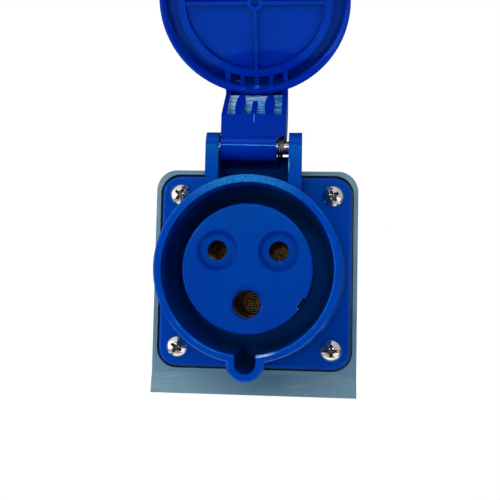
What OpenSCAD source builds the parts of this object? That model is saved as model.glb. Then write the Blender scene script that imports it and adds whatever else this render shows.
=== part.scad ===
// Surface-mounted industrial power socket, three contacts, with a sprung hinged lid.
// Millimetres. The wall is the plane Y = 0, the socket faces -Y, and Z is up.
// The socket itself is drawn in a front frame: X right, Y up the sloping front, Z out of the socket.

/* [Socket housing] */
// Inside diameter of the shroud that takes the plug's collar
shroud_id = 47; // [44:0.5:52]
// Wall of the shroud at its rim
shroud_wall = 2.2; // [1.8:0.1:3]
// Extra radius of the shroud at the flange, from its moulding draft
shroud_draft = 1.3; // [0.6:0.1:2]
// Height of the rim above the flange face
rim_h = 34.5; // [30:0.5:40]
// Width and height of the square flange
flange_w = 60.1; // [59.5:0.1:64]
// Thickness of the flange
flange_t = 3.6; // [3:0.1:5]
// Corner radius of the flange
flange_r = 5.5; // [4:0.5:6]
// Bevel along the front edge of the flange
flange_bevel = 0.8; // [0.4:0.1:1.2]
// Distance of the flange screws from the flange's edges
screw_edge = 5.95; // [5.5:0.05:6.3]
// Rounding of the moulded edges at the rim
edge_round = 0.6; // [0.3:0.1:0.9]

/* [Keyway] */
// Width of the key slot
key_w = 5.8; // [5:0.1:6.4]
// Reach of the slot past the shroud's inside wall
key_reach = 5; // [4:0.1:5.6]
// Wall round the key slot
key_wall = 2.3; // [2:0.1:2.8]

/* [Contacts] */
// Diameter of the boss that carries the contacts
boss_d = 35.9; // [35:0.1:37]
// Depth of the boss face behind the rim
boss_drop = 2; // [1.5:0.1:3]
// Diameter of the circle of the three contacts
contact_circle = 19.6; // [19:0.1:20.4]
// Bore of the line and neutral contacts, for 5 mm pins
pin_bore = 5.1; // [5.05:0.05:5.3]
// Bore of the earth contact, for a 7 mm pin
earth_bore = 7.1; // [7.05:0.05:7.3]
// Wall of a contact sleeve
sleeve_wall = 1.1; // [0.9:0.05:1.2]
// Depth of a contact's bore
bore_depth = 25; // [20:1:27]
// Length of a terminal behind its collar
terminal_len = 13; // [12:0.5:16]
// Diameter of the dished recess round the line and neutral holes
dish_d = 11.6; // [11:0.1:12]
// Depth of the dished recess
dish_h = 1.6; // [1:0.1:2]
// Width of the slope round the dished recess
dish_slope = 1.3; // [0.8:0.1:1.8]

/* [Lid] */
// Angle that the lid stands open
open_angle = 141; // [130:1:145]
// Height of the hinge axis above the flange face
hinge_h = 13.5; // [12.5:0.5:14.5]
// Distance of the hinge axis from the socket axis
hinge_up = 36.8; // [36.5:0.1:38]
// Diameter of the hinge pin
hinge_pin_d = 4; // [3.6:0.1:4.2]
// Wall of the lid's hinge barrel
barrel_wall = 1.9; // [1.6:0.1:2.1]
// Thickness of each hinge ear
ear_t = 3.9; // [3:0.1:5]
// Clear width between the ears
ear_gap = 20.7; // [20.5:0.1:22]
// Distance of the barrel's right end from the middle
barrel_end = 6.7; // [6:0.1:7.2]
// Sideways play of the lid, which the spring pushes to the left ear
lid_play = 0.35; // [0.1:0.05:0.35]
// Wall of the lid's outer skirt
skirt_t = 1.75; // [1.6:0.05:2.2]
// Radial room that the lid's play leaves between the skirt and the shroud
skirt_room = 0.3; // [0.3:0.1:0.8]
// Overlap of the skirt past the rim
skirt_drop = 1.8; // [1.2:0.1:2]
// Depth of the groove that faces the rim, from the rim up
groove_up = 2.6; // [2:0.1:3]
// Thickness of the lid over the groove
lid_t = 2.4; // [2:0.1:3]
// Width of the raised ring inside the groove
ring_w = 2.3; // [1.8:0.1:2.6]

/* [Spring] */
// Wire of the lid spring
spring_wire = 0.75; // [0.6:0.05:0.8]
// Whole turns of the lid spring
spring_wraps = 1; // [1:1:2]

/* [Wall box] */
// Angle by which the front faces downwards
tilt = 14; // [10:1:16]
// Depth of the box at its foot
foot_depth = 32; // [30:1:40]
// Height of the upright strip under the sloping front
foot_h = 6.6; // [5:0.1:9]
// Wall of the box
box_wall = 2.4; // [2:0.1:3]
// Back wall of the box
back_wall = 3; // [2.4:0.1:4]
// Rim of the box that frames the flange
lip_t = 1.35; // [1:0.05:1.6]
// Gap between the flange and that rim
flange_gap = 0.7; // [0.4:0.1:0.9]
// Height of the flange face above that rim
flange_proud = 0.8; // [0.4:0.1:1.2]
// Radius of the box's upper corners
box_r = 6.4; // [6:0.1:8]
// Rise of the underside towards the wall, in degrees
foot_draft = 6.5; // [3:0.5:8]
// Thickness of the flange gasket
gasket_t = 1.2; // [0.8:0.1:1.6]
// Horizontal spacing of the wall fixing holes
wall_pitch_x = 30; // [26:1:32]
// Vertical spacing of the wall fixing holes
wall_pitch_z = 48; // [44:1:50]
// Diameter of the wall fixing holes
wall_hole_d = 5.2; // [4.5:0.1:6]
// Diameter of the cable entry in the top
entry_d = 20.4; // [16.4:0.1:22]
// Distance of the cable entry from the inside of the back wall
entry_back = 8.6; // [6:0.1:10]

/* [Hidden] */
$fn = 96;
// Cutters run past the faces that they cut by this much
over = 1;
// Clear room between pieces that don't touch
room = 0.3;

// Clearances between pieces that are fitted together
pin_fit = 0.03;
barrel_fit = 0.06;
thread_fit = 0.08;
carrier_fit = 0.35;
sleeve_room = 0.3;
face_room = 0.2;
grommet_fit = 0.1;
leg_fit = 0.12;
clip_fit = 0.02;

// Shroud, boss and keyway
shroud_ri = shroud_id / 2;
shroud_ro = shroud_ri + shroud_wall;
shroud_base_r = shroud_ro + shroud_draft;
boss_r = boss_d / 2;
boss_top = rim_h - boss_drop;
key_r = key_w / 2;
key_y = -(shroud_ri + key_reach - key_r);
key_wall_r = key_r + key_wall;
key_floor = 2;
shroud_foot = 1.2;

// Flange stack from its face backwards
gasket_z = -flange_t - gasket_t;
flange_y = flange_w / 2;
screw_xy = flange_y - screw_edge;

// Sloping front of the wall box
recess_w = flange_w + 2 * flange_gap;
box_w = recess_w + 2 * lip_t;
front_half = box_w / 2;
front_y = -foot_depth - front_half * sin(tilt) - flange_proud * cos(tilt);
front_z = foot_h / 2 - flange_proud * sin(tilt);
box_top = front_z + front_half * cos(tilt) + flange_proud * sin(tilt);
box_foot = -box_top;
sill_z = box_foot + foot_h;
top_lip_y = front_y - front_half * sin(tilt) + flange_proud * cos(tilt);
seat_plate = box_wall;
seat_w = 2.4;
window_w = flange_w - 2 * seat_w;
gasket_lip = 1;
post_r = 4.2;
screw_len = 12;
screw_spare = 0.5;
recess_reach = 4 * flange_t;
hollow_past = 2;
entry_y = -back_wall - entry_back - entry_d / 2;

// Rubber grommet: brim, lip behind the wall and three steps of its closed dome
brim_w = 2;
brim_t = 1.5;
brim_bevel = 0.5;
barb = 1.2;
barb_h = 2;
barb_taper = 2;
grommet_wall = 2.2;
grommet_skin = 1.1;
dome_step_h = 1;
dome_steps = 3;

// Flange screws, carrier screws and terminal screws: shank radius, head radius, head height
flange_screw = [1.6, 3.3, 2.3];
carrier_screw = [1.2, 2.4, 1.7];
terminal_screw = [1.5, 2.5, 1.8];

// Slot across the head of a flange screw: width, depth, height of its ends, and how far each screw is turned
flange_slot_w = 0.9;
flange_slot_deep = 0.4;
flange_slot_end = 0.45;
flange_screw_turns = [[58, 58], [0, 118]];

// Contact carrier: its shoulder is held against the flange by a back plate on two posts
shoulder_w = 1;
shoulder_t = 4;
shoulder_r = boss_r + carrier_fit + shoulder_w;
carrier_back = -flange_t - shoulder_t;
back_plate_t = 4;
plate_back = carrier_back - back_plate_t;
post_wall = 1.1;
plate_post_r = carrier_screw[0] + post_wall;
plate_post_at = shoulder_r + room + plate_post_r;
plate_r = plate_post_at + carrier_screw[1];
plate_post_angles = [45, 225];
floor_skin = 0.9;
carrier_bite = flange_t - floor_skin;
collar_t = 1.6;
collar_lip = 1.3;
face_t = 4.5;
sleeve_top = boss_top - face_t;
wire_r = 1.7;
wire_hole_deep = 11;
terminal_screw_back = 7;
terminal_screw_proud = 0.6;
hole_chamfer = 0.7;

// The three contacts: angle, bore
line_at = [150, pin_bore];
neutral_at = [30, pin_bore];
earth_at = [270, earth_bore];
CONTACTS = [line_at, neutral_at, earth_at];
slit_w = 0.8;
slit_len = 15;
clip_w = 1.4;
clip_t = 0.7;
clip_groove = 0.5;
clip_side = 0.1;
clip_gap = 0.8;
clip_from_top = 4;
latch_angle = -32;
latch_w = 3.2;
latch_in = 1;
latch_deep = 5;

// Hinge
hinge_pin_r = hinge_pin_d / 2;
barrel_r = hinge_pin_r + barrel_wall;
ear_lip = 0.7;
ear_r = barrel_r + ear_lip;
ear_root = 4;
ear_in = ear_gap / 2;
ear_out = ear_in + ear_t;
side_room = 0.45;
arm_side_room = 0.25;
barrel_left = -ear_in + side_room;
pin_tip = 0.4;
hinge_axis = [hinge_up, hinge_h];
ear_foot = [flange_y - flange_bevel, -flange_bevel];
ear_heel = tangent(ear_foot, hinge_axis, ear_r, 1);
ear_slope = (ear_heel[1] - ear_foot[1]) / (ear_heel[0] - ear_foot[0]);
// Web between the ears, under the barrel and clear of the open arm
web_room = 1.6;
web_h = hinge_h - barrel_r - web_room;
web_in = 1.7;
web_up = hinge_up - web_in;
web_inset = 0.3;
web_lap = ear_t / 2;
web_foot = ear_foot - [web_inset, 0];

// Lid spring: a coil on the pin, one leg on the web and one in a hole of the lid's arm
coil_r = hinge_pin_r + room + spring_wire;
coil_mid_r = hinge_pin_r + room + spring_wire / 2;
coil_pitch = spring_wire * 1.1;
house_leg_angle = 157;
lid_leg_angle = 180 - open_angle - 360 * spring_wraps;
coil_turns = (house_leg_angle - lid_leg_angle) / 360;
coil_len = coil_turns * coil_pitch;
coil_left = barrel_end + room;
coil_right = coil_left + coil_len + spring_wire;
leg_rest = 0.02;
house_leg = (hinge_h + (coil_mid_r - spring_wire / 2) * sin(house_leg_angle) - web_h - leg_rest)
    / -cos(house_leg_angle);
lid_leg = 6;
spring_sides = 8;
spring_step = 13;
coil_steps = ceil((house_leg_angle - lid_leg_angle) / spring_step);

// Lid, in its closed place, with heights from the flange face
skirt_ri = shroud_ro + skirt_room + lid_play;
lid_r = skirt_ri + skirt_t;
skirt_low = rim_h - skirt_drop;
groove_z = rim_h + groove_up;
lid_top = groove_z + lid_t;
ring_gap = 0.2;
ring_room = 0.4;
ring_low = rim_h + ring_gap;
ring_ro = shroud_ri - ring_room;
ring_ri = ring_ro - ring_w;
panel_deep = 1.6;
panel_z = rim_h + panel_deep;
lid_round = 1.6;
lead_in = 0.9;
lead_h = 1.4;
tab_room = 0.9;
tab_wall = 1.4;
tab_step = 0.6;
tab_ri = key_wall_r + tab_room;
tab_ro = tab_ri + tab_wall;
rib_gap = 0.3;
rib_low = rim_h + rib_gap;
rib_t = 1.1;
hub_r = 2.4;
hub_hole_r = 1.1;
hub_hole_deep = 0.9;
gusset_t = 1.5;
gusset_pitch = 4.5;
// Ribs and gussets run into the walls beside them by this much
rib_lap = 0.2;
gusset_lap = 0.3;

// Lid arm, measured from the hinge axis: y towards the socket axis is negative, z out of the socket
arm_half = ear_in - arm_side_room - lid_play;
arm_clear = 0.1;
arm_in_y = lid_r - hinge_up + arm_clear;
arm_rise = 1.1;
arm_low_z = barrel_r + arm_rise;
arm_out_y = barrel_r;
arm_root_angle = 171;
arm_root_r = barrel_r - 0.1;
arm_lap = 0.5;
arm_bow_w = 8.4;
arm_bow_h = 9;
arm_steps = 8;
// Pocket in the arm, in the front frame's directions from the hinge axis while the lid stands open
pocket_half = 8.2;
pocket_low = 10;
pocket_high = 21;
pocket_floor = -11;
pocket_front = 6;
pocket_skin = 0.05;
bow_rib_half = 1.55;
bow_rib_long = 6.6;
bow_rib_y = 14;
peg_r = 0.85;
peg_y = 15;

// A point of the front frame, as a place in the wall frame
function wall_point(y, z) = [
    front_y - y * sin(tilt) - z * cos(tilt),
    front_z + y * cos(tilt) - z * sin(tilt)
];

// Points on an arc about a centre, from one angle to another
function arc(c, r, a0, a1, n = 6) = [
    for (i = [0:n]) let (a = a0 + (a1 - a0) * i / n) [c[0] + r * cos(a), c[1] + r * sin(a)]
];

// Where a line from point p touches the circle about c; side is 1 or -1
function tangent(p, c, r, side) =
    let (d = norm(c - p), toward = atan2(p[1] - c[1], p[0] - c[0]), half = acos(r / d))
    [c[0] + r * cos(toward + side * half), c[1] + r * sin(toward + side * half)];

// Angle of a contact and its place on the boss
function contact_xy(c) = [contact_circle / 2 * cos(c[0]), contact_circle / 2 * sin(c[0])];
function sleeve_r(c) = c[1] / 2 + sleeve_wall;
function collar_r(c) = sleeve_r(c) + collar_lip;

// Lid spring: a point on its coil, and the way that the coil runs there
function coil_point(a) = [
    coil_left + spring_wire / 2 + coil_len * (house_leg_angle - a) / (house_leg_angle - lid_leg_angle),
    coil_mid_r * cos(a), coil_mid_r * sin(a)
];
function coil_along(a) = [0, sin(a), -cos(a)];

// The wire's section as a ring of points about p
function wire_ring(p, a) = [
    for (i = [0:spring_sides - 1]) let (s = i * 360 / spring_sides)
        p + spring_wire / 2 * (cos(s) * [0, cos(a), sin(a)] - sin(s) * [1, 0, 0])
];
spring_rings = concat(
    [wire_ring(coil_point(house_leg_angle) - house_leg * coil_along(house_leg_angle), house_leg_angle)],
    [for (i = [0:coil_steps])
        let (a = house_leg_angle + (lid_leg_angle - house_leg_angle) * i / coil_steps)
        wire_ring(coil_point(a), a)],
    [wire_ring(coil_point(lid_leg_angle) + lid_leg * coil_along(lid_leg_angle), lid_leg_angle)]
);

// Puts the front frame on the wall box
module on_front() {
    translate([0, front_y, front_z]) rotate([90 + tilt, 0, 0]) children();
}

// Turns a piece drawn in the closed lid's place to where it stands open
module swung_open() {
    translate([0, hinge_up, hinge_h]) rotate([-open_angle, 0, 0]) children();
}

// An outline in Y and Z, run along X about the middle
module along_x(from_x, to_x) {
    translate([from_x, 0, 0]) rotate([90, 0, 90]) linear_extrude(to_x - from_x) children();
}

// A square with round corners, flat
module round_square(w, r) {
    square([w, w - 2 * r], center = true);
    square([w - 2 * r, w], center = true);
    for (x = [-1, 1], y = [-1, 1]) translate([x * (w / 2 - r), y * (w / 2 - r)]) circle(r);
}

// A plate with round corners and a bevelled upper edge, standing on z = 0
module bevelled_plate(w, r, t, bevel) {
    linear_extrude(t - bevel) round_square(w, r);
    span = w - 2 * r;
    slope = [[-w / 2, 0], [w / 2, 0], [w / 2 - bevel, bevel], [-w / 2 + bevel, bevel]];
    translate([0, 0, t - bevel]) {
        translate([0, span / 2, 0]) rotate([90, 0, 0]) linear_extrude(span) polygon(slope);
        rotate(90) translate([0, span / 2, 0]) rotate([90, 0, 0]) linear_extrude(span) polygon(slope);
        for (x = [-1, 1], y = [-1, 1])
            translate([x * span / 2, y * span / 2, 0]) cylinder(h = bevel, r1 = r, r2 = r - bevel);
    }
}

// The four places of the flange screws
module at_screws() {
    for (x = [-1, 1], y = [-1, 1]) translate([x * screw_xy, y * screw_xy, 0]) children();
}

// The two places of the carrier screws
module at_plate_posts() {
    for (a = plate_post_angles)
        translate([plate_post_at * cos(a), plate_post_at * sin(a), 0]) children();
}

// The place of one contact on the boss
module at_contact(c) {
    translate([contact_xy(c)[0], contact_xy(c)[1], 0]) children();
}

// The radius of the dome on a screw's head
function dome_r(s) = s[1] * 1.25;

// A screw with a domed head and a cross recess, its head standing on z = 0 and its shank below
module pan_screw(s, length) {
    shank = s[0];
    head = s[1];
    tall = s[2];
    ball = dome_r(s);
    slot_w = head * 0.3;
    slot_l = head * 1.15;
    slot_floor = tall * 0.4;
    point_r = shank * 0.4;
    difference() {
        intersection() {
            cylinder(h = tall, r = head);
            translate([0, 0, tall - ball]) sphere(ball);
        }
        for (a = [0, 90]) rotate(a)
            translate([-slot_l / 2, -slot_w / 2, slot_floor]) cube([slot_l, slot_w, tall]);
    }
    translate([0, 0, -length + shank]) cylinder(h = length - shank, r = shank);
    translate([0, 0, -length]) cylinder(h = shank, r1 = point_r, r2 = shank);
}

// The slot across a screw's head, its floor following the dome
module head_slot(s, wide, deep, end) {
    long = s[1] + over;
    difference() {
        translate([-long, -wide / 2, end]) cube([2 * long, wide, s[2]]);
        translate([0, 0, s[2] - dome_r(s)]) sphere(dome_r(s) - deep);
    }
}

// Wall box: outline seen from the front, grown or shrunk by a wall
module box_outline(inset) {
    half = front_half - inset;
    r = box_r - inset;
    tall = box_top - inset;
    low = box_foot - over;
    translate([-half, low]) square([2 * half, tall - r - low]);
    translate([-half + r, low]) square([2 * half - 2 * r, tall - low]);
    for (x = [-1, 1]) translate([x * (half - r), tall - r]) circle(r);
}

// Wall box: its outside, seen from the side
module box_side() {
    polygon([
        [0, box_foot + foot_depth * tan(foot_draft)],
        [-foot_depth, box_foot],
        [-foot_depth, sill_z],
        [top_lip_y, box_top],
        [0, box_top]
    ]);
}

// Wall box: its hollow, seen from the side, behind the plate that carries the flange
module box_hollow_side() {
    plate = gasket_z - seat_plate;
    low = wall_point(-window_w / 2 - hollow_past, plate);
    under = box_foot + (foot_depth + low[0]) * tan(foot_draft) + box_wall;
    under_back = box_foot + (foot_depth - back_wall) * tan(foot_draft) + box_wall;
    top_y = (box_top - box_wall - front_z + plate * sin(tilt)) / cos(tilt);
    top = wall_point(top_y, plate);
    polygon([[-back_wall, under_back], [low[0], under], low, top, [-back_wall, top[1]]]);
}

module box_body(inset) {
    translate([0, over, 0]) rotate([90, 0, 0])
        linear_extrude(-top_lip_y + 2 * over) box_outline(inset);
}

module wall_box() color("#7f99a8") {
    difference() {
        union() {
            difference() {
                intersection() {
                    box_body(0);
                    along_x(-front_half - over, front_half + over) box_side();
                }
                intersection() {
                    box_body(box_wall);
                    along_x(-front_half, front_half) box_hollow_side();
                }
                on_front() {
                    translate([0, 0, gasket_z]) linear_extrude(recess_reach)
                        round_square(recess_w, flange_r + flange_gap);
                    translate([0, 0, gasket_z - 2 * seat_plate]) linear_extrude(recess_reach)
                        round_square(window_w, flange_r);
                }
            }
            intersection() {
                on_front() at_screws() translate([0, 0, gasket_z - front_half * 2])
                    cylinder(h = front_half * 2, r = post_r);
                box_body(0);
                along_x(-front_half, front_half) box_side();
            }
        }
        on_front() at_screws() translate([0, 0, gasket_z - screw_len])
            cylinder(h = screw_len + over, r = flange_screw[0] + thread_fit);
        for (x = [-1, 1], z = [-1, 1]) translate([x * wall_pitch_x / 2, over, z * wall_pitch_z / 2])
            rotate([90, 0, 0]) cylinder(h = back_wall + 2 * over, d = wall_hole_d);
        translate([0, entry_y, box_top - box_wall - over]) cylinder(h = box_wall + 2 * over, d = entry_d);
    }
}

// Rubber grommet in the cable entry: a brim, a barb behind the wall and a stepped closed dome
module cable_grommet() color("#2b2d30") {
    neck = entry_d / 2 - grommet_fit;
    brim = neck + brim_w;
    inner = neck - grommet_wall;
    step_r = inner / dome_steps;
    top = brim_t + dome_steps * dome_step_h;
    tail = -box_wall - barb_h;
    translate([0, entry_y, box_top]) rotate_extrude() polygon(concat(
        [for (i = [0:dome_steps - 1]) for (k = [i, i + 1]) [k * step_r, top - i * dome_step_h]],
        [[inner, brim_t], [brim - brim_bevel, brim_t], [brim, brim_t - brim_bevel], [brim, 0],
         [neck, 0], [neck, -box_wall], [neck + barb, -box_wall], [neck + barb - barb_taper, tail],
         [inner, tail], [inner, brim_t - grommet_skin]],
        [for (i = [dome_steps - 1:-1:0]) for (k = [i + 1, i])
            [max(0, k * step_r - grommet_skin), top - grommet_skin - i * dome_step_h]]
    ));
}

// Rubber gasket between the flange and its seat in the box
module flange_gasket() color("#1d1f22") on_front() {
    translate([0, 0, gasket_z]) linear_extrude(gasket_t) difference() {
        round_square(flange_w, flange_r);
        difference() {
            round_square(window_w - 2 * gasket_lip, flange_r);
            at_screws() circle(post_r);
        }
        at_screws() circle(flange_screw[0] + room);
    }
}

// Socket housing: side outline of one hinge ear
module ear_side() {
    polygon([
        [shroud_ri - ear_root, -flange_bevel], ear_foot, ear_heel, hinge_axis,
        [hinge_up, hinge_h + ear_r], [shroud_ri - ear_root, hinge_h + ear_r]
    ]);
    translate(hinge_axis) circle(ear_r);
}

// Socket housing: side outline of the web that joins the ears under the barrel
module web_side() {
    polygon([
        [shroud_ri - ear_root, -flange_bevel], web_foot,
        [web_up, web_foot[1] + ear_slope * (web_up - web_foot[0])],
        [web_up, web_h], [shroud_ri - ear_root, web_h]
    ]);
}

// Socket housing: section through one side of the shroud
module shroud_section() {
    e = edge_round;
    polygon(concat(
        [[shroud_ri - over, -flange_bevel], [shroud_base_r + shroud_foot, -flange_bevel],
         [shroud_base_r + shroud_foot, 0], [shroud_base_r, shroud_foot]],
        arc([shroud_ro - e, rim_h - e], e, 0, 90),
        arc([shroud_ri + e, rim_h - e], e, 90, 180),
        [[shroud_ri, 0], [shroud_ri - over, 0]]
    ));
}

module socket_housing() color("#0a4fae") on_front() {
    e = edge_round;
    difference() {
        union() {
            translate([0, 0, -flange_t]) bevelled_plate(flange_w, flange_r, flange_t, flange_bevel);
            difference() {
                union() {
                    translate([0, key_y, -flange_bevel])
                        cylinder(h = rim_h + flange_bevel - e, r = key_wall_r);
                    translate([0, key_y, rim_h - e]) cylinder(h = e, r1 = key_wall_r, r2 = key_wall_r - e);
                    along_x(-ear_out, -ear_in) ear_side();
                    along_x(ear_in, ear_out) ear_side();
                    along_x(-ear_in - web_lap, ear_in + web_lap) web_side();
                }
                cylinder(h = rim_h + over, r = shroud_ri + shroud_wall / 2);
            }
            rotate_extrude() shroud_section();
        }
        translate([0, 0, -flange_t - over]) cylinder(h = flange_t + 2 * over, r = boss_r + carrier_fit);
        translate([0, key_y, key_floor]) cylinder(h = rim_h, r = key_r);
        translate([-key_r, key_y, key_floor]) cube([key_w, key_reach, rim_h]);
        at_screws() translate([0, 0, -flange_t - over])
            cylinder(h = flange_t + 2 * over, r = flange_screw[0] + room);
        at_plate_posts() translate([0, 0, -flange_t - over])
            cylinder(h = carrier_bite + over, r = carrier_screw[0] + thread_fit);
        translate([-ear_out - over, hinge_up, hinge_h]) rotate([0, 90, 0])
            cylinder(h = 2 * ear_out + 2 * over, r = hinge_pin_r + pin_fit);
    }
}

// A cone that opens upwards through the boss face, cut by this depth and width
module face_cone(r, wide, deep) {
    translate([0, 0, boss_top - deep])
        cylinder(h = deep + over, r1 = r, r2 = r + wide * (deep + over) / deep);
}

// Contact carrier: the boss and the shoulder that the back plate presses on the flange
module contact_carrier() color("#0b55b4") on_front() {
    e = edge_round;
    difference() {
        rotate_extrude() polygon(concat(
            [[0, carrier_back], [shoulder_r, carrier_back], [shoulder_r, -flange_t], [boss_r, -flange_t]],
            arc([boss_r - e, boss_top - e], e, 0, 90),
            [[0, boss_top]]
        ));
        for (c = CONTACTS) at_contact(c) {
            translate([0, 0, carrier_back - over])
                cylinder(h = sleeve_top + room - carrier_back + over, r = sleeve_r(c) + sleeve_room);
            cylinder(h = boss_top + over, r = c[1] / 2 + face_room);
        }
        for (c = [line_at, neutral_at]) at_contact(c) face_cone(dish_d / 2 - dish_slope, dish_slope, dish_h);
        at_contact(earth_at) face_cone(earth_bore / 2 + face_room, hole_chamfer, hole_chamfer);
        rotate(latch_angle) translate([boss_r - latch_in, -latch_w / 2, boss_top - latch_deep])
            cube([latch_in + over, latch_w, latch_deep + over]);
    }
}

// Plate behind the carrier: it holds the contacts by their collars, and its posts stand on the flange
module carrier_back_plate() color("#d8d5cb") on_front() {
    difference() {
        translate([0, 0, plate_back]) {
            cylinder(h = back_plate_t, r = plate_r);
            at_plate_posts() cylinder(h = back_plate_t + shoulder_t, r = plate_post_r);
        }
        for (c = CONTACTS) at_contact(c) {
            translate([0, 0, carrier_back - collar_t])
                cylinder(h = collar_t + over, r = collar_r(c) + room);
            translate([0, 0, plate_back - over])
                cylinder(h = back_plate_t + over, r = sleeve_r(c) + room);
        }
        at_plate_posts() translate([0, 0, plate_back - over])
            cylinder(h = back_plate_t + shoulder_t + 2 * over, r = carrier_screw[0] + room);
    }
}

// A brass contact: a slit sleeve at the front, a collar, and a terminal with a wire hole behind
module contact(c) {
    r = sleeve_r(c);
    end = plate_back - terminal_len;
    at_contact(c) rotate(c[0]) difference() {
        union() {
            translate([0, 0, end]) cylinder(h = sleeve_top - end, r = r);
            translate([0, 0, carrier_back - collar_t]) cylinder(h = collar_t, r = collar_r(c));
        }
        translate([0, 0, sleeve_top - bore_depth]) cylinder(h = bore_depth + over, d = c[1]);
        for (a = [0, 90]) rotate(a) translate([-slit_w / 2, -r - over, sleeve_top - slit_len])
            cube([slit_w, r + over, slit_len + over]);
        translate([0, 0, sleeve_top - clip_from_top - clip_w]) difference() {
            cylinder(h = clip_w, r = r + over);
            cylinder(h = clip_w, r = r - clip_groove);
        }
        translate([0, 0, end - over]) cylinder(h = wire_hole_deep + over, r = wire_r);
        translate([0, 0, plate_back - terminal_screw_back]) rotate([0, 90, 0])
            cylinder(h = r + over, r = terminal_screw[0] + thread_fit);
    }
}

// Open steel ring that closes the slit end of a contact
module contact_spring(c) {
    r = sleeve_r(c) - clip_groove + clip_fit;
    low = sleeve_top - clip_from_top - clip_w + clip_side;
    tall = clip_w - 2 * clip_side;
    at_contact(c) rotate(c[0]) translate([0, 0, low]) difference() {
        cylinder(h = tall, r = r + clip_t);
        translate([0, 0, -over]) cylinder(h = tall + 2 * over, r = r);
        translate([0, -clip_gap / 2, -over]) cube([r + 2 * clip_t, clip_gap, tall + 2 * over]);
    }
}

module line_contact() color("#c79a3c") on_front() contact(line_at);
module neutral_contact() color("#c79a3c") on_front() contact(neutral_at);
module earth_contact() color("#c79a3c") on_front() contact(earth_at);
module line_contact_spring() color("#b9bcc0") on_front() contact_spring(line_at);
module neutral_contact_spring() color("#b9bcc0") on_front() contact_spring(neutral_at);
module earth_contact_spring() color("#b9bcc0") on_front() contact_spring(earth_at);

// One screw in the side of each terminal, pointing at the wire hole
module terminal_screws() color("#c9c4b4") on_front() {
    for (c = CONTACTS) at_contact(c) rotate(c[0])
        translate([sleeve_r(c) + terminal_screw_proud, 0, plate_back - terminal_screw_back])
            rotate([0, 90, 0]) pan_screw(terminal_screw, sleeve_r(c) + terminal_screw_proud - wire_r);
}

// Two screws that draw the back plate and the carrier to the housing
module carrier_screws() color("#c9c4b4") on_front() {
    at_plate_posts() translate([0, 0, plate_back]) rotate([180, 0, 0])
        pan_screw(carrier_screw, back_plate_t + shoulder_t + carrier_bite - screw_spare);
}

// Four bright screws that hold the flange to the box
module flange_screws() color("#d3d5d8") on_front() {
    for (x = [0, 1], y = [0, 1]) translate([(2 * x - 1) * screw_xy, (2 * y - 1) * screw_xy, 0])
        rotate(flange_screw_turns[x][y]) difference() {
            pan_screw(flange_screw, flange_t + gasket_t + screw_len - screw_spare);
            head_slot(flange_screw, flange_slot_w, flange_slot_deep, flange_slot_end);
        }
}

// Steel pin across both ears
module hinge_pin() color("#c4c6c8") on_front() {
    long = 2 * ear_out;
    translate([-ear_out, hinge_up, hinge_h]) rotate([0, 90, 0]) {
        cylinder(h = pin_tip, r1 = hinge_pin_r - pin_tip, r2 = hinge_pin_r);
        translate([0, 0, pin_tip]) cylinder(h = long - 2 * pin_tip, r = hinge_pin_r);
        translate([0, 0, long - pin_tip]) cylinder(h = pin_tip, r1 = hinge_pin_r, r2 = hinge_pin_r - pin_tip);
    }
}

// Lid spring: the wire as one tube along its rings
module lid_spring() color("#aeb1b4") on_front() translate([0, hinge_up, hinge_h]) {
    last = len(spring_rings) - 1;
    polyhedron(
        points = [for (ring = spring_rings) for (p = ring) p],
        faces = concat(
            [[for (i = [0:spring_sides - 1]) i]],
            [for (k = [0:last - 1]) for (i = [0:spring_sides - 1])
                let (j = (i + 1) % spring_sides, b = k * spring_sides, t = b + spring_sides)
                [b + i, t + i, t + j, b + j]],
            [[for (i = [spring_sides - 1:-1:0]) last * spring_sides + i]]
        )
    );
}

// Lid: section of the round cover with its skirt and its groove
module lid_section() {
    polygon(concat(
        [[0, panel_z], [ring_ri, panel_z], [ring_ri, ring_low], [ring_ro, ring_low], [ring_ro, groove_z],
         [skirt_ri, groove_z], [skirt_ri, skirt_low + lead_h], [skirt_ri + lead_in, skirt_low],
         [lid_r, skirt_low]],
        arc([lid_r - lid_round, lid_top - lid_round], lid_round, 0, 90),
        [[0, lid_top]]
    ));
}

// Lid: the round cover with a bulge over the keyway, two crossed ribs and five gussets in the groove
module lid_cover() {
    difference() {
        union() {
            rotate_extrude() lid_section();
            difference() {
                translate([0, key_y, skirt_low]) cylinder(h = lid_top - skirt_low - tab_step, r = tab_ro);
                translate([0, 0, skirt_low - over]) cylinder(h = lid_top, r = skirt_ri);
            }
        }
        difference() {
            translate([0, key_y, skirt_low - over])
                cylinder(h = rim_h + tab_step - skirt_low + over, r = tab_ri);
            translate([0, 0, skirt_low - 2 * over]) cylinder(h = lid_top, r = ring_ro);
        }
    }
    for (a = [0, 90]) rotate(a) translate([-ring_ri, -rib_t / 2, rib_low])
        cube([2 * ring_ri, rib_t, panel_z + rib_lap - rib_low]);
    translate([0, 0, rib_low]) cylinder(h = panel_z + rib_lap - rib_low, r = hub_r);
    for (i = [-2:2]) {
        x = i * gusset_pitch;
        r_in = sqrt(pow(ring_ro, 2) - x * x) - gusset_lap;
        r_out = sqrt(pow(skirt_ri, 2) - x * x) + gusset_lap;
        translate([x - gusset_t / 2, r_in, rib_low])
            cube([gusset_t, r_out - r_in, groove_z + rib_lap - rib_low]);
    }
}

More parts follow.
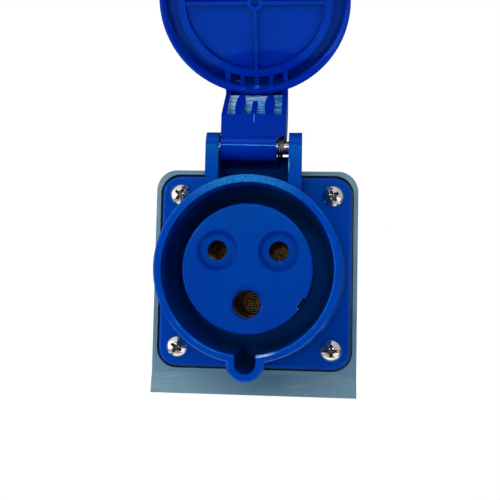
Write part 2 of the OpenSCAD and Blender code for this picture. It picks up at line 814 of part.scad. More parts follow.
// Lid: side outline of the arm, from the hinge axis
module arm_side() {
    skirt_z = skirt_low - hinge_h + arm_lap;
    shoulder = lid_top - hinge_h;
    polygon(concat(
        [arm_root_r * [cos(arm_root_angle), sin(arm_root_angle)], [arm_in_y, arm_low_z],
         [arm_in_y, skirt_z], [arm_in_y - skirt_t, skirt_z], [arm_in_y - skirt_t - lid_round, shoulder]],
        [for (i = [0:arm_steps]) let (a = 90 - 90 * i / arm_steps)
            [arm_out_y - arm_bow_w * (1 - cos(a)), shoulder - arm_bow_h * (1 - sin(a))]],
        [[arm_out_y, 0], [0, 0]]
    ));
}

// Lid arm: the pocket in its inner face, less two bowed ribs and a peg that stand in it
module arm_pocket() {
    deep = pocket_front - pocket_floor;
    through = deep + 2 * over;
    difference() {
        rotate([open_angle, 0, 0]) translate([0, 0, pocket_floor]) difference() {
            translate([-pocket_half, pocket_low, 0])
                cube([2 * pocket_half, pocket_high - pocket_low, deep]);
            for (x = [-1, 1]) translate([x * gusset_pitch, bow_rib_y, -over])
                linear_extrude(through) bow_rib();
            translate([0, peg_y, -over]) cylinder(h = through, r = peg_r);
            translate([-peg_r, pocket_low - over, -over])
                cube([2 * peg_r, peg_y - pocket_low + over, through]);
        }
        translate([0, -hinge_up, -over]) cylinder(h = 2 * lid_top, r = lid_r - pocket_skin);
    }
}

// Outline of a rib with two bowed sides, its length along Y
module bow_rib() {
    bow = (bow_rib_half * bow_rib_half + bow_rib_long * bow_rib_long) / (2 * bow_rib_half);
    intersection() {
        translate([bow - bow_rib_half, 0]) circle(bow);
        translate([bow_rib_half - bow, 0]) circle(bow);
    }
}

// Lid: cover and arm are moved by the play in the hinge, the barrel round the pin is not
module hinged_lid() color("#08399c") on_front() swung_open() {
    difference() {
        union() {
            translate([-lid_play, -hinge_up, -hinge_h]) lid_cover();
            translate([-lid_play, 0, 0]) along_x(-arm_half, arm_half) arm_side();
            along_x(barrel_left, barrel_end + arm_lap) circle(barrel_r);
        }
        translate([-lid_play, -hinge_up, -hinge_h + rib_low - over])
            cylinder(h = over + hub_hole_deep, r = hub_hole_r);
        translate([-lid_play, 0, 0]) arm_pocket();
        along_x(-ear_in, ear_in) circle(hinge_pin_r + barrel_fit);
        along_x(-ear_in, barrel_left) circle(barrel_r + room);
        rotate([open_angle, 0, 0]) translate([barrel_end, -lid_r, -lid_r])
            cube([ear_in, lid_r + coil_r + leg_fit, 2 * lid_r]);
        translate([coil_right - spring_wire / 2, -coil_mid_r, 0])
            cylinder(h = lid_leg + room, r = spring_wire / 2 + leg_fit);
    }
}

wall_box();
cable_grommet();
flange_gasket();
socket_housing();
contact_carrier();
carrier_back_plate();
line_contact();
neutral_contact();
earth_contact();
line_contact_spring();
neutral_contact_spring();
earth_contact_spring();
terminal_screws();
carrier_screws();
flange_screws();
hinge_pin();
lid_spring();
hinged_lid();
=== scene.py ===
import math

import bmesh
import bpy
from mathutils import Matrix, Vector


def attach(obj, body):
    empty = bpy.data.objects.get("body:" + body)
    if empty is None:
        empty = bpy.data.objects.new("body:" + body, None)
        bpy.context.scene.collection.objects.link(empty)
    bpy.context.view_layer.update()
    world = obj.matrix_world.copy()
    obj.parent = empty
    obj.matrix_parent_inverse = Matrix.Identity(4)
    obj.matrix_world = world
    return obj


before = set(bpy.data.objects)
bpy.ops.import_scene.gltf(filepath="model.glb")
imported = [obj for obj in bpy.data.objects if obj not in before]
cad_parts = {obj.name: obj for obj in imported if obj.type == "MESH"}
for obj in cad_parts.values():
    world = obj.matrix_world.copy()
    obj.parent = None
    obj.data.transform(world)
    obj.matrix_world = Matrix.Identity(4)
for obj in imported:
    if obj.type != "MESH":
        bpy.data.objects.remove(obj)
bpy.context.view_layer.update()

MM = 0.001

# Front frame of the socket: X right, Y up the sloping front, Z out of the socket, from the flange's centre.
# Sizes and places in it are in millimetres, unless a comment says metres.
FRONT_TURN = math.pi / 2 + math.radians(14)
FLANGE_CENTRE = Vector((0, -40.542, 3.106)) * MM
FRONT = Matrix.Translation(FLANGE_CENTRE) @ Matrix.Rotation(FRONT_TURN, 4, "X")
RIM_TOP = 34.5
BOSS_FACE = 32.5
CONTACT_CIRCLE = 19.6
SLEEVE_MOUTH = 28
HINGE = Vector((0, 36.8, 13.5))
# The lid has slid this far to the left in the play of its hinge
LID_PLAY = 0.35
POCKET_FLOOR = HINGE + Vector((-LID_PLAY, 14.4, -11))
POCKET_HALF = (8.2, 4.5, 0.4)
# Ends of the pale streak along the latch slot's edge, and the spots that make it up
LATCH_TOP, LATCH_LOW, LATCH_SPOTS = Vector((15.25, -8.3, 32.4)), Vector((13.9, -10.45, 32.4)), 4
# Angle of each contact about the boss, and place and half size of each painted glint in its brass
CONTACTS = {"line_contact": (150, [((-1.8, -1.8, -9), (2.2, 2.2, 16))]),
            "neutral_contact": (30, [((1.5, -1.2, -25), (0.8, 1.2, 1))]),
            "earth_contact": (270, [((1.9, 0.8, -25), (1.2, 1.4, 1))])}

# Sockets of a Mix node, several of which share a name: factor, two numbers, two colours, and the mixed colour
FACTOR, NUMBER_A, NUMBER_B, COLOUR_A, COLOUR_B = 0, 2, 3, 6, 7
MIXED_COLOUR = 2
# Range that holds most values of a noise texture
NOISE_LOW, NOISE_HIGH = 0.3, 0.7


def linear(code):
    """An sRGB hex colour as the linear colour that shaders take."""
    parts = [int(code[i:i + 2], 16) / 255 for i in (1, 3, 5)]
    return [c / 12.92 if c <= 0.04045 else ((c + 0.055) / 1.055) ** 2.4 for c in parts] + [1.0]


def per_mm(size):
    """Texture scale at which one feature is about this many millimetres wide."""
    return 1 / (size * MM)


def add(tree, kind, inputs=None, **settings):
    """Adds a node with its settings; an input that is a socket is linked, any other is set."""
    made = tree.nodes.new(kind)
    for key, value in settings.items():
        setattr(made, key, value)
    for key, value in (inputs or {}).items():
        if isinstance(value, bpy.types.NodeSocket):
            tree.links.new(value, made.inputs[key])
        else:
            made.inputs[key].default_value = value
    return made


def material(name, **uniform):
    """A new material, its node tree and its surface shader, with the shader's uniform values set."""
    made = bpy.data.materials.new(name)
    made.use_nodes = True
    shader = made.node_tree.nodes["Principled BSDF"]
    for key, value in uniform.items():
        shader.inputs[key.replace("_", " ")].default_value = value
    return made, made.node_tree, shader


def textured(name, tones, tone_mm, roughness, grain_mm, depth_mm, **uniform):
    """A material whose colour drifts between two tones and whose fine grain varies gloss and height."""
    made, tree, shader = material(name, **uniform)
    place = add(tree, "ShaderNodeTexCoord").outputs["Object"]
    drift = add(tree, "ShaderNodeTexNoise", {"Vector": place, "Scale": per_mm(tone_mm), "Detail": 3.0})
    spread = add(tree, "ShaderNodeMapRange", {"Value": drift.outputs["Fac"], "From Min": NOISE_LOW,
                                              "From Max": NOISE_HIGH})
    tone = add(tree, "ShaderNodeMix", {FACTOR: spread.outputs["Result"], COLOUR_A: linear(tones[0]),
                                       COLOUR_B: linear(tones[1])}, data_type="RGBA")
    tree.links.new(tone.outputs[MIXED_COLOUR], shader.inputs["Base Color"])
    grain = add(tree, "ShaderNodeTexNoise", {"Vector": place, "Scale": per_mm(grain_mm), "Detail": 2.0})
    gloss = add(tree, "ShaderNodeMapRange", {"Value": grain.outputs["Fac"], "From Min": NOISE_LOW,
                                             "From Max": NOISE_HIGH, "To Min": roughness[0],
                                             "To Max": roughness[1]})
    tree.links.new(gloss.outputs["Result"], shader.inputs["Roughness"])
    bump = add(tree, "ShaderNodeBump", {"Height": grain.outputs["Fac"], "Distance": depth_mm * MM})
    tree.links.new(bump.outputs["Normal"], shader.inputs["Normal"])
    return made


def overlay(made, mask, tone):
    """Lays another tone over a material's colour where the mask is 1."""
    tree = made.node_tree
    socket = tree.nodes["Principled BSDF"].inputs["Base Color"]
    mixed = add(tree, "ShaderNodeMix", {FACTOR: mask, COLOUR_A: socket.links[0].from_socket, COLOUR_B: tone},
                data_type="RGBA")
    tree.links.new(mixed.outputs[MIXED_COLOUR], socket)


def dull(made, mask):
    """Takes most of the mirror gloss off a material where the mask is 1."""
    tree = made.node_tree
    shine = add(tree, "ShaderNodeMix", {FACTOR: mask, NUMBER_A: 0.5, NUMBER_B: 0.05})
    tree.links.new(shine.outputs[0], tree.nodes["Principled BSDF"].inputs["Specular IOR Level"])


def front_place(tree, point):
    """Coordinates in the front frame, in metres, about a point given there in millimetres."""
    place = add(tree, "ShaderNodeTexCoord").outputs["Object"]
    return add(tree, "ShaderNodeMapping", {"Vector": place, "Location": FRONT @ (Vector(point) * MM),
                                           "Rotation": (FRONT_TURN, 0, 0)},
               vector_type="TEXTURE").outputs["Vector"]


def paint_recess_shade(made, reach_mm, tone):
    """Painted shade in recesses: the colour deepens where walls stand close."""
    tree = made.node_tree
    clear = add(tree, "ShaderNodeAmbientOcclusion", {"Distance": reach_mm * MM}, samples=8, only_local=True)
    shade = add(tree, "ShaderNodeMapRange", {"Value": clear.outputs["AO"], "From Min": 0.95,
                                             "From Max": 0.45})
    overlay(made, shade.outputs["Result"], linear(tone))


def speckle_spot(made, point, half, tone):
    """Specks of a tone in a small ellipsoid about a point of the front frame, sizes in millimetres: painted
    glints in the brass, pale marks on edges.
    """
    speck_mm, fade = 0.5, -0.5
    tree = made.node_tree
    local = front_place(tree, point)
    near = add(tree, "ShaderNodeVectorMath", {0: local, 1: [per_mm(h) for h in half]}, operation="MULTIPLY")
    reach = add(tree, "ShaderNodeVectorMath", {0: near.outputs["Vector"]}, operation="LENGTH")
    specks = add(tree, "ShaderNodeTexNoise", {"Vector": local, "Scale": per_mm(speck_mm), "Detail": 2.0})
    speckled = add(tree, "ShaderNodeMath", {0: reach.outputs["Value"], 1: fade, 2: specks.outputs["Fac"]},
              operation="MULTIPLY_ADD")
    mask = add(tree, "ShaderNodeMapRange", {"Value": speckled.outputs[0], "From Min": 0.12, "From Max": 0.34})
    overlay(made, mask.outputs["Result"], linear(tone))


def darken(made, point, half, tone):
    """A soft spot of painted shade, out to an ellipsoid in the front frame, sizes in millimetres; gives back
    its mask.
    """
    tree = made.node_tree
    near = add(tree, "ShaderNodeVectorMath", {0: front_place(tree, point), 1: [per_mm(h) for h in half]},
               operation="MULTIPLY").outputs["Vector"]
    reach = add(tree, "ShaderNodeVectorMath", {0: near}, operation="LENGTH").outputs["Value"]
    mask = add(tree, "ShaderNodeMapRange", {"Value": reach, "From Min": 1.0, "From Max": 0.62,
                                            "To Max": 0.85},
               interpolation_type="SMOOTHSTEP").outputs["Result"]
    overlay(made, mask, linear(tone))
    return mask


def paint_rim_highlight(made, tone, middle, half, reach):
    """Painted highlight on the shroud's rim, in pale streaks: middle and half angle from the top in degrees,
    outer radius in mm.
    """
    line_mm, marks_per_radian, face_mm = 0.3, 20.0, 0.4
    tree = made.node_tree
    local = add(tree, "ShaderNodeSeparateXYZ", {0: front_place(tree, (0, 0, RIM_TOP))}).outputs
    flat = add(tree, "ShaderNodeCombineXYZ", {0: local["X"], 1: local["Y"]}).outputs["Vector"]
    radius = add(tree, "ShaderNodeVectorMath", {0: flat}, operation="LENGTH").outputs["Value"]
    angle = add(tree, "ShaderNodeMath", {0: local["X"], 1: local["Y"]}, operation="ARCTAN2").outputs[0]
    across = add(tree, "ShaderNodeMath", {0: radius, 1: per_mm(line_mm)}, operation="MULTIPLY").outputs[0]
    along = add(tree, "ShaderNodeMath", {0: angle, 1: marks_per_radian}, operation="MULTIPLY").outputs[0]
    swept = add(tree, "ShaderNodeCombineXYZ", {0: across, 1: along}).outputs["Vector"]
    lines = add(tree, "ShaderNodeTexNoise", {"Vector": swept, "Scale": 1.0, "Detail": 3.0}).outputs["Fac"]
    streaked = add(tree, "ShaderNodeMapRange", {"Value": lines, "From Min": 0.25,
                                              "From Max": 0.65}).outputs["Result"]
    aside = add(tree, "ShaderNodeMath", {0: angle, 1: math.radians(middle)}, operation="SUBTRACT").outputs[0]
    apart = add(tree, "ShaderNodeMath", {0: aside}, operation="ABSOLUTE").outputs[0]
    span = add(tree, "ShaderNodeMapRange", {"Value": apart, "From Min": math.radians(half), "From Max": 0.0},
               interpolation_type="SMOOTHSTEP").outputs["Result"]
    face = add(tree, "ShaderNodeMath", {0: local["Z"], 1: 0.0, 2: face_mm * MM},
               operation="COMPARE").outputs[0]
    inner = add(tree, "ShaderNodeMath", {0: radius, 1: reach * MM}, operation="LESS_THAN").outputs[0]
    mask = span
    for part in (streaked, face, inner):
        mask = add(tree, "ShaderNodeMath", {0: mask, 1: part}, operation="MULTIPLY").outputs[0]
    overlay(made, mask, linear(tone))


def paint_pocket_reflection(made):
    """Painted reflection on the floor of the pocket in the lid's arm: pale, finely streaked as the mould's
    milled core leaves it, and with the floor's own gloss taken off.
    """
    # The streaks are drawn a little coarser than a milling cutter's, so that they show at this size
    streak_long, streak_wide = 5, 0.5
    # How much paler the painted reflection gets for each metre to the left and up
    paler = (-16, 36, 0)
    tree = made.node_tree
    local = front_place(tree, POCKET_FLOOR)
    mask = None
    for value, half in zip(add(tree, "ShaderNodeSeparateXYZ", {0: local}).outputs, POCKET_HALF):
        inside = add(tree, "ShaderNodeMath", {0: value, 1: 0.0, 2: half * MM}, operation="COMPARE").outputs[0]
        if mask:
            inside = add(tree, "ShaderNodeMath", {0: mask, 1: inside}, operation="MULTIPLY").outputs[0]
        mask = inside
    scales = (per_mm(streak_long), per_mm(streak_wide), per_mm(streak_long))
    drawn = add(tree, "ShaderNodeVectorMath", {0: local, 1: scales}, operation="MULTIPLY").outputs["Vector"]
    streak = add(tree, "ShaderNodeTexNoise", {"Vector": drawn, "Scale": 1.0, "Detail": 3.0}).outputs["Fac"]
    rise = add(tree, "ShaderNodeVectorMath", {0: local, 1: paler}, operation="DOT_PRODUCT").outputs["Value"]
    level = add(tree, "ShaderNodeMath", {0: streak, 1: rise}, operation="ADD").outputs[0]
    tone = add(tree, "ShaderNodeValToRGB", {"Fac": level})
    ramp = tone.color_ramp.elements
    ramp[0].position, ramp[0].color = 0.3, linear("#0a3cae")
    ramp[1].position, ramp[1].color = 0.75, linear("#c2e0fc")
    ramp.new(0.5).color = linear("#3a88dc")
    overlay(made, mask, tone.outputs["Color"])
    dull(made, mask)


def scratch(made, tone):
    """Handling scratches: fine slanting hairlines, paler than the plastic, in patches."""
    # The hairlines are drawn wider than real ones, so that they show at this size
    hair_long, hair_wide, patch_mm, slope = 9, 0.35, 14, math.radians(9)
    tree = made.node_tree
    place = add(tree, "ShaderNodeTexCoord").outputs["Object"]
    slant = add(tree, "ShaderNodeMapping", {"Vector": place, "Rotation": (0, slope, 0)}).outputs["Vector"]
    scales = (per_mm(hair_long), per_mm(hair_long), per_mm(hair_wide))
    hair = add(tree, "ShaderNodeVectorMath", {0: slant, 1: scales}, operation="MULTIPLY").outputs["Vector"]
    lines = add(tree, "ShaderNodeTexNoise", {"Vector": hair, "Scale": 1.0, "Detail": 2.0}).outputs["Fac"]
    patch = add(tree, "ShaderNodeTexNoise", {"Vector": place, "Scale": per_mm(patch_mm),
                                             "Detail": 1.0}).outputs["Fac"]
    both = add(tree, "ShaderNodeMath", {0: lines, 1: patch}, operation="MULTIPLY").outputs[0]
    mask = add(tree, "ShaderNodeMapRange", {"Value": both, "From Min": 0.26, "From Max": 0.5, "To Max": 0.28})
    overlay(made, mask.outputs["Result"], linear(tone))


def turned_brass(name, angle, glints):
    """Brass turned about one contact's axis: fine rings and brown tarnish, with painted shade near the mouth
    and painted glints.
    """
    # The rings are drawn coarser than a lathe leaves them, so that they show at this size
    ring_mm, stain_mm, ring_share, ring_deep = 0.72, 1.1, 0.3, 0.05
    made, tree, shader = material(name)
    turn = math.radians(angle)
    mouth = Vector((math.cos(turn), math.sin(turn), 0)) * CONTACT_CIRCLE / 2 + Vector((0, 0, SLEEVE_MOUTH))
    local = front_place(tree, mouth)
    flat = add(tree, "ShaderNodeVectorMath", {0: local, 1: (1, 1, 0)}, operation="MULTIPLY").outputs["Vector"]
    radius = add(tree, "ShaderNodeVectorMath", {0: flat}, operation="LENGTH").outputs["Value"]
    turns = add(tree, "ShaderNodeMath", {0: radius, 1: 2 * math.pi * per_mm(ring_mm)},
                operation="MULTIPLY").outputs[0]
    ring = add(tree, "ShaderNodeMath", {0: turns}, operation="SINE").outputs[0]
    place = add(tree, "ShaderNodeTexCoord").outputs["Object"]
    stain = add(tree, "ShaderNodeTexNoise", {"Vector": place, "Scale": per_mm(stain_mm),
                                             "Detail": 4.0}).outputs["Fac"]
    mixed = add(tree, "ShaderNodeMath", {0: ring, 1: ring_share, 2: stain},
                operation="MULTIPLY_ADD").outputs[0]
    tone = add(tree, "ShaderNodeValToRGB", {"Fac": mixed})
    ramp = tone.color_ramp.elements
    ramp[0].position, ramp[0].color = 0.34, linear("#120a02")
    ramp[1].position, ramp[1].color = 0.74, linear("#ffdc84")
    ramp.new(0.54).color = linear("#a8701e")
    tree.links.new(tone.outputs["Color"], shader.inputs["Base Color"])
    gloss = add(tree, "ShaderNodeMapRange", {"Value": stain, "From Min": NOISE_LOW, "From Max": NOISE_HIGH,
                                             "To Min": 0.42, "To Max": 0.22})
    tree.links.new(gloss.outputs["Result"], shader.inputs["Roughness"])
    # Bare metal shines through the brown oxide film only in places
    bare = add(tree, "ShaderNodeMapRange", {"Value": stain, "From Min": 0.35, "From Max": 0.6, "To Min": 0.3,
                                            "To Max": 0.6})
    tree.links.new(bare.outputs["Result"], shader.inputs["Metallic"])
    bump = add(tree, "ShaderNodeBump", {"Height": mixed, "Distance": ring_deep * MM})
    tree.links.new(bump.outputs["Normal"], shader.inputs["Normal"])
    # Painted shade: the brass goes black near the mouth and clears deeper in
    depth = add(tree, "ShaderNodeSeparateXYZ", {0: local}).outputs["Z"]
    mouth_shade = add(tree, "ShaderNodeMapRange", {"Value": depth, "From Min": -14 * MM, "From Max": -4 * MM,
                                             "To Max": 0.95})
    overlay(made, mouth_shade.outputs["Result"], linear("#080401"))
    # Painted glints: bright spots in the brass that stand in for reflections in the hole
    for spot, half in glints:
        speckle_spot(made, mouth + Vector(spot), half, "#eebc5a")
    return made


# Blue moulded polyamide of the housing: saturated, half glossy, with a fine grain that breaks reflections
HOUSING = textured("moulded_polyamide_blue", ("#0036a2", "#003fae"), 16, (0.11, 0.15), 0.4, 0.0010, IOR=1.53,
                   Specular_Tint=linear("#30d2ff"))
# The contact insert is a shade deeper and a little more matt than the housing round it
CARRIER = textured("moulded_polyamide_insert", ("#002c93", "#00339d"), 14, (0.20, 0.26), 0.4, 0.0010,
                   IOR=1.53, Specular_Tint=linear("#30d2ff"))
# The lid is polished in the mould, so it mirrors the lamps more sharply and looks deeper
LID = textured("polished_polyamide_blue", ("#0026a2", "#002dae"), 16, (0.05, 0.08), 0.6, 0.0003, IOR=1.53,
               Specular_Tint=linear("#58d8ff"))
# Paler polyamide of the flash line on the lid's arm: the paler tone is painted highlight along its ridge
PALE_RIDGE = textured("ridge_highlight_polyamide", ("#3058cc", "#5f84e0"), 1, (0.3, 0.4), 0.4, 0.001, IOR=1.53)
# Grey moulded polycarbonate of the wall box: blue-green grey, satin
BOX = textured("moulded_polycarbonate_grey", ("#4d7a8d", "#578295"), 18, (0.42, 0.54), 0.5, 0.004, IOR=1.58)
# Pale moulded melamine of the plate behind the contacts: matt, slightly warm
PLATE = textured("moulded_melamine_pale", ("#d8d5cb", "#dfdcd3"), 12, (0.5, 0.6), 0.5, 0.004, IOR=1.5)
# EPDM rubber of the gasket and the grommet: nearly black, dull, a soft bloom on it
RUBBER = textured("epdm_rubber_black", ("#16181a", "#1e2022"), 8, (0.6, 0.75), 0.5, 0.006, IOR=1.5)
# Drawn spring wire: grey steel with a tight bright glint along the wire
SPRING = textured("drawn_spring_steel", ("#5c5d60", "#7a7b7e"), 1.5, (0.16, 0.26), 0.5, 0.001, Metallic=1.0)
# Zinc-plated steel of the pin and the hidden screws: pale, faintly mottled
ZINC = textured("zinc_plated_steel", ("#a9aaa8", "#c4c5c3"), 1.8, (0.2, 0.32), 0.5, 0.001, Metallic=1.0)
# Bright nickel plating of the flange screws: white metal that mirrors the studio sharply
NICKEL = textured("bright_nickel_plate", ("#cfcecb", "#dedddb"), 2.5, (0.05, 0.1), 0.5, 0.0006, Metallic=1.0)

# Painted shade in the recesses of the insert, the housing, the lid and the screws
paint_recess_shade(CARRIER, 3, "#001266")
paint_recess_shade(HOUSING, 4, "#00217c")
paint_recess_shade(LID, 4, "#001e8a")
paint_recess_shade(NICKEL, 1, "#3a3d39")
# Painted reflection, pale and streaked, on the floor of the pocket in the lid's arm
paint_pocket_reflection(LID)
scratch(BOX, "#a9c2cc")
# Painted shade of a sink mark round the earth hole: its thick sleeve draws the face in a little, most on the
# upper side
darken(CARRIER, (0, -9.2, BOSS_FACE), (5.6, 5.6, 5.6), "#001c80")
# Painted shade behind the hinge barrel, between the ears, with the gloss taken off there too
dull(HOUSING, darken(HOUSING, (0, 31, 6), (16, 9, 11), "#00083e"))
# Painted highlights on the rim: a broad pale one across the top, and a streak on its inner edge beside the
# keyway
paint_rim_highlight(HOUSING, "#2486c4", -4, 52, 30)
paint_rim_highlight(HOUSING, "#c4e0fa", 168, 9, 24.2)
# Pale specks on the right ear's inner edge
speckle_spot(HOUSING, (10.4, 31, 18.1), (0.5, 2.6, 0.6), "#6f9fd0")
# Pale streak along the edge of the latch slot: a row of spots that run together
for i in range(LATCH_SPOTS):
    speckle_spot(CARRIER, LATCH_TOP.lerp(LATCH_LOW, i / (LATCH_SPOTS - 1)), (0.7, 0.7, 0.9), "#547d8c")

COATS = {"wall_box": BOX, "cable_grommet": RUBBER, "flange_gasket": RUBBER, "socket_housing": HOUSING,
         "contact_carrier": CARRIER, "carrier_back_plate": PLATE, "line_contact_spring": SPRING,
         "neutral_contact_spring": SPRING, "earth_contact_spring": SPRING, "terminal_screws": ZINC,
         "carrier_screws": ZINC, "flange_screws": NICKEL, "hinge_pin": ZINC, "lid_spring": SPRING,
         "hinged_lid": LID}
COATS.update({name: turned_brass("turned_brass_" + name.split("_")[0], *contact)
              for name, contact in CONTACTS.items()})

# Edge rounding in millimetres of each piece that has moulded or turned edges
ROUNDING = {"wall_box": 0.35, "socket_housing": 0.25, "contact_carrier": 0.4, "hinged_lid": 0.25,
            "carrier_back_plate": 0.2, "line_contact": 0.1, "neutral_contact": 0.1, "earth_contact": 0.1,
            "flange_screws": 0.05, "terminal_screws": 0.1, "carrier_screws": 0.1, "hinge_pin": 0.1}
# Edges that turn by more than this are rounded
SHARP = math.radians(28)


def round_edges(piece, width):
    """Small rounding of all sharp edges, as any moulded or turned piece has."""
    weld = piece.modifiers.new("weld", "WELD")
    weld.merge_threshold = 0.001 * MM
    bevel = piece.modifiers.new("rounding", "BEVEL")
    bevel.width = width * MM
    bevel.segments = 2
    bevel.limit_method = "ANGLE"
    bevel.angle_limit = SHARP
    flat = piece.modifiers.new("flat_faces", "WEIGHTED_NORMAL")
    flat.weight = 100
    flat.keep_sharp = True


for name, coat in COATS.items():
    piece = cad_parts[name]
    piece.data.materials.clear()
    piece.data.materials.append(coat)
    if name in ROUNDING:
        round_edges(piece, ROUNDING[name])

# Flash line that the mould's split leaves on the lid's arm, below the peg: a fine ridge with run-out ends
LINE_TOP, LINE_LOW = HINGE + Vector((-0.2, 10.1, 1.45)), HINGE + Vector((-0.2, 7.4, 1.66))
LINE_WIDE, LINE_HIGH = 0.17, 0.2
LINE_STEPS, LINE_SIDES = 14, 6
# Share of the swell that is left off at each end, and how bluntly the ends run out
LINE_CUT, LINE_BLUNT = 0.06, 0.4


def ridge_ring(share):
    """Points round the flash line at a share of its length, in metres in the socket's own frame."""
    middle = LINE_TOP.lerp(LINE_LOW, share)
    swell = math.sin(math.pi * (LINE_CUT + (1 - 2 * LINE_CUT) * share)) ** LINE_BLUNT
    turns = [2 * math.pi * j / LINE_SIDES for j in range(LINE_SIDES)]
    around = [Vector((LINE_WIDE * math.cos(a), 0, LINE_HIGH * math.sin(a))) * swell for a in turns]
    return [FRONT @ ((middle + offset) * MM) for offset in around]


ridge = bmesh.new()
rings = [[ridge.verts.new(point) for point in ridge_ring(i / LINE_STEPS)] for i in range(LINE_STEPS + 1)]
for upper, lower in zip(rings, rings[1:]):
    for j in range(LINE_SIDES):
        k = (j + 1) % LINE_SIDES
        ridge.faces.new((upper[j], upper[k], lower[k], lower[j]))
ridge.faces.new(rings[0])
ridge.faces.new(rings[-1])
bmesh.ops.recalc_face_normals(ridge, faces=ridge.faces)
flash_line = bpy.data.objects.new("arm_flash_line", bpy.data.meshes.new("arm_flash_line"))
ridge.to_mesh(flash_line.data)
ridge.free()
bpy.context.scene.collection.objects.link(flash_line)
flash_line.data.materials.append(PALE_RIDGE)
flash_line.data.polygons.foreach_set("use_smooth", [True] * len(flash_line.data.polygons))
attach(flash_line, "lid")

# Studio: a plain pale floor below and behind the socket, soft light from both sides, white all round
FLOOR_Z, FLOOR_Y, FLOOR_R, FLOOR_SIDES = -0.6, 1.35, 1.5, 48
# Glow of the paper for a ray that sees it
PAPER_GLOW = 0.7
turns = [2 * math.pi * i / FLOOR_SIDES for i in range(FLOOR_SIDES)]
disc = bpy.data.meshes.new("floor")
disc.from_pydata([(FLOOR_R * math.cos(a), FLOOR_Y + FLOOR_R * math.sin(a), FLOOR_Z) for a in turns], [],
                 [list(range(FLOOR_SIDES))])
floor = bpy.data.objects.new("floor", disc)
bpy.context.scene.collection.objects.link(floor)
# White paper: pale wherever it is seen, with the soft shadow still on it
paper, paper_tree, paper_shader = material("white_paper", Base_Color=linear("#e6e6e6"), Roughness=0.9,
                                           Emission_Color=linear("#ffffff"))
rays = add(paper_tree, "ShaderNodeLightPath").outputs
seen = rays["Is Camera Ray"]
for kind in ("Is Glossy Ray", "Is Transmission Ray"):
    seen = add(paper_tree, "ShaderNodeMath", {0: seen, 1: rays[kind]}, operation="MAXIMUM").outputs[0]
veil = add(paper_tree, "ShaderNodeMath", {0: seen, 1: PAPER_GLOW}, operation="MULTIPLY").outputs[0]
paper_tree.links.new(veil, paper_shader.inputs["Emission Strength"])
disc.materials.append(paper)


def lamp(name, place, aim, size, power, in_gloss=True):
    """A rectangular soft lamp; place and aim are in the front frame, in metres."""
    data = bpy.data.lights.new(name, "AREA")
    data.shape = "RECTANGLE"
    data.size, data.size_y = size
    data.energy = power
    made = bpy.data.objects.new(name, data)
    bpy.context.scene.collection.objects.link(made)
    start = FRONT @ Vector(place)
    ray = FRONT @ Vector(aim) - start
    made.matrix_world = Matrix.Translation(start) @ ray.to_track_quat("-Z", "Y").to_matrix().to_4x4()
    made.visible_glossy = in_gloss


# Name, place and size in metres, power in watts, and whether the lamp shows in gloss.
# The fills don't, as if polarised: they reach into the recesses and leave no glare.
LAMPS = (("side_left", (-0.75, 0.1, 0.35), (0.8, 0.8), 2.9, True),
         ("low_right", (0.6, -0.35, 0.45), (0.7, 0.7), 1.5, True),
         ("low_fill", (0, -0.75, 0.55), (0.5, 0.3), 2.1, False),
         ("front_fill", (-0.06, -0.02, 0.9), (0.25, 0.25), 0.7, False),
         ("back_fill", (0.25, 0.3, -0.8), (0.6, 0.6), 4.0, False),
         ("upper_fill", (-0.04, 0.4, 0.5), (0.3, 0.2), 0.45, False))
LAMP_AIM = (0, 0.02, 0.01)
for name, place, size, power, in_gloss in LAMPS:
    lamp(name, place, LAMP_AIM, size, power, in_gloss)
# A narrow lamp whose mirror image is the bright line along the hinge barrel
lamp("strip_above", (-0.04, 0.19, 0.594), HINGE * MM, (0.5, 0.022), 1.2)

# A light tent round the front: dark at the viewer's opening, behind and below, brighter above and on the left
TENT_LIGHT = 0.45
VIEWER, UP, RIGHT = FRONT.col[2].xyz, Vector((0, 0, 1)), Vector((1, 0, 0))
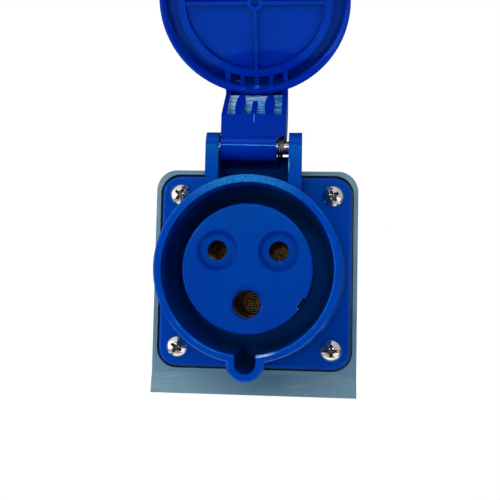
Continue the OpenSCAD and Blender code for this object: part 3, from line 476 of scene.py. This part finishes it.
# Direction of each shade, the cosines to it at which the shade is deepest and gone, and the light left in it
TENT_SHADES = ((VIEWER, 0.92, 0.60, 0.2), (VIEWER, -0.35, 0.1, 0.1), (UP, -0.5, 0.2, 0.55),
               (RIGHT, 0.7, -0.5, 0.6))
world = bpy.data.worlds.new("studio")
bpy.context.scene.world = world
world.use_nodes = True
sky = world.node_tree
direction = add(sky, "ShaderNodeTexCoord").outputs["Generated"]
glow = None
for toward, deepest, gone, left in TENT_SHADES:
    cosine = add(sky, "ShaderNodeVectorMath", {0: direction, 1: toward},
                 operation="DOT_PRODUCT").outputs["Value"]
    shade = add(sky, "ShaderNodeMapRange", {"Value": cosine, "From Min": deepest, "From Max": gone,
                                            "To Min": left, "To Max": 1.0},
                interpolation_type="SMOOTHSTEP").outputs["Result"]
    if glow:
        shade = add(sky, "ShaderNodeMath", {0: glow, 1: shade}, operation="MULTIPLY").outputs[0]
    glow = shade
# It is white where the camera sees it, at full strength in gloss and clear pieces, and dimmer as a light
rays = add(sky, "ShaderNodeLightPath").outputs
mirrored = add(sky, "ShaderNodeMath", {0: rays["Is Glossy Ray"], 1: rays["Is Transmission Ray"]},
               operation="MAXIMUM").outputs[0]
strength = add(sky, "ShaderNodeMix", {FACTOR: mirrored, NUMBER_A: TENT_LIGHT, NUMBER_B: 1.0}).outputs[0]
lit = add(sky, "ShaderNodeMath", {0: glow, 1: strength}, operation="MULTIPLY").outputs[0]
level = add(sky, "ShaderNodeMix", {FACTOR: rays["Is Camera Ray"], NUMBER_A: lit, NUMBER_B: 1.0}).outputs[0]
sky.links.new(level, sky.nodes["Background"].inputs["Color"])

# Camera where the photo was taken: close in front, a little to the right of the socket's axis and below it
CAMERA_PLACE = Vector((15.7, -6.1, 237.9))
CAMERA_TURNS = (("Y", 4.59), ("X", 3.76), ("Z", 1.24))
lens = bpy.data.cameras.new("photo_camera")
lens.sensor_width = 36
lens.lens = 54.43
lens.shift_x = 0.01036
lens.shift_y = -0.01788
lens.clip_start = 0.01
camera = bpy.data.objects.new("photo_camera", lens)
bpy.context.scene.collection.objects.link(camera)
stand = FRONT @ Matrix.Translation(CAMERA_PLACE * MM)
for axis, degrees in CAMERA_TURNS:
    stand = stand @ Matrix.Rotation(math.radians(degrees), 4, axis)
camera.matrix_world = stand
bpy.context.scene.camera = camera
bpy.context.scene.view_settings.view_transform = "Standard"
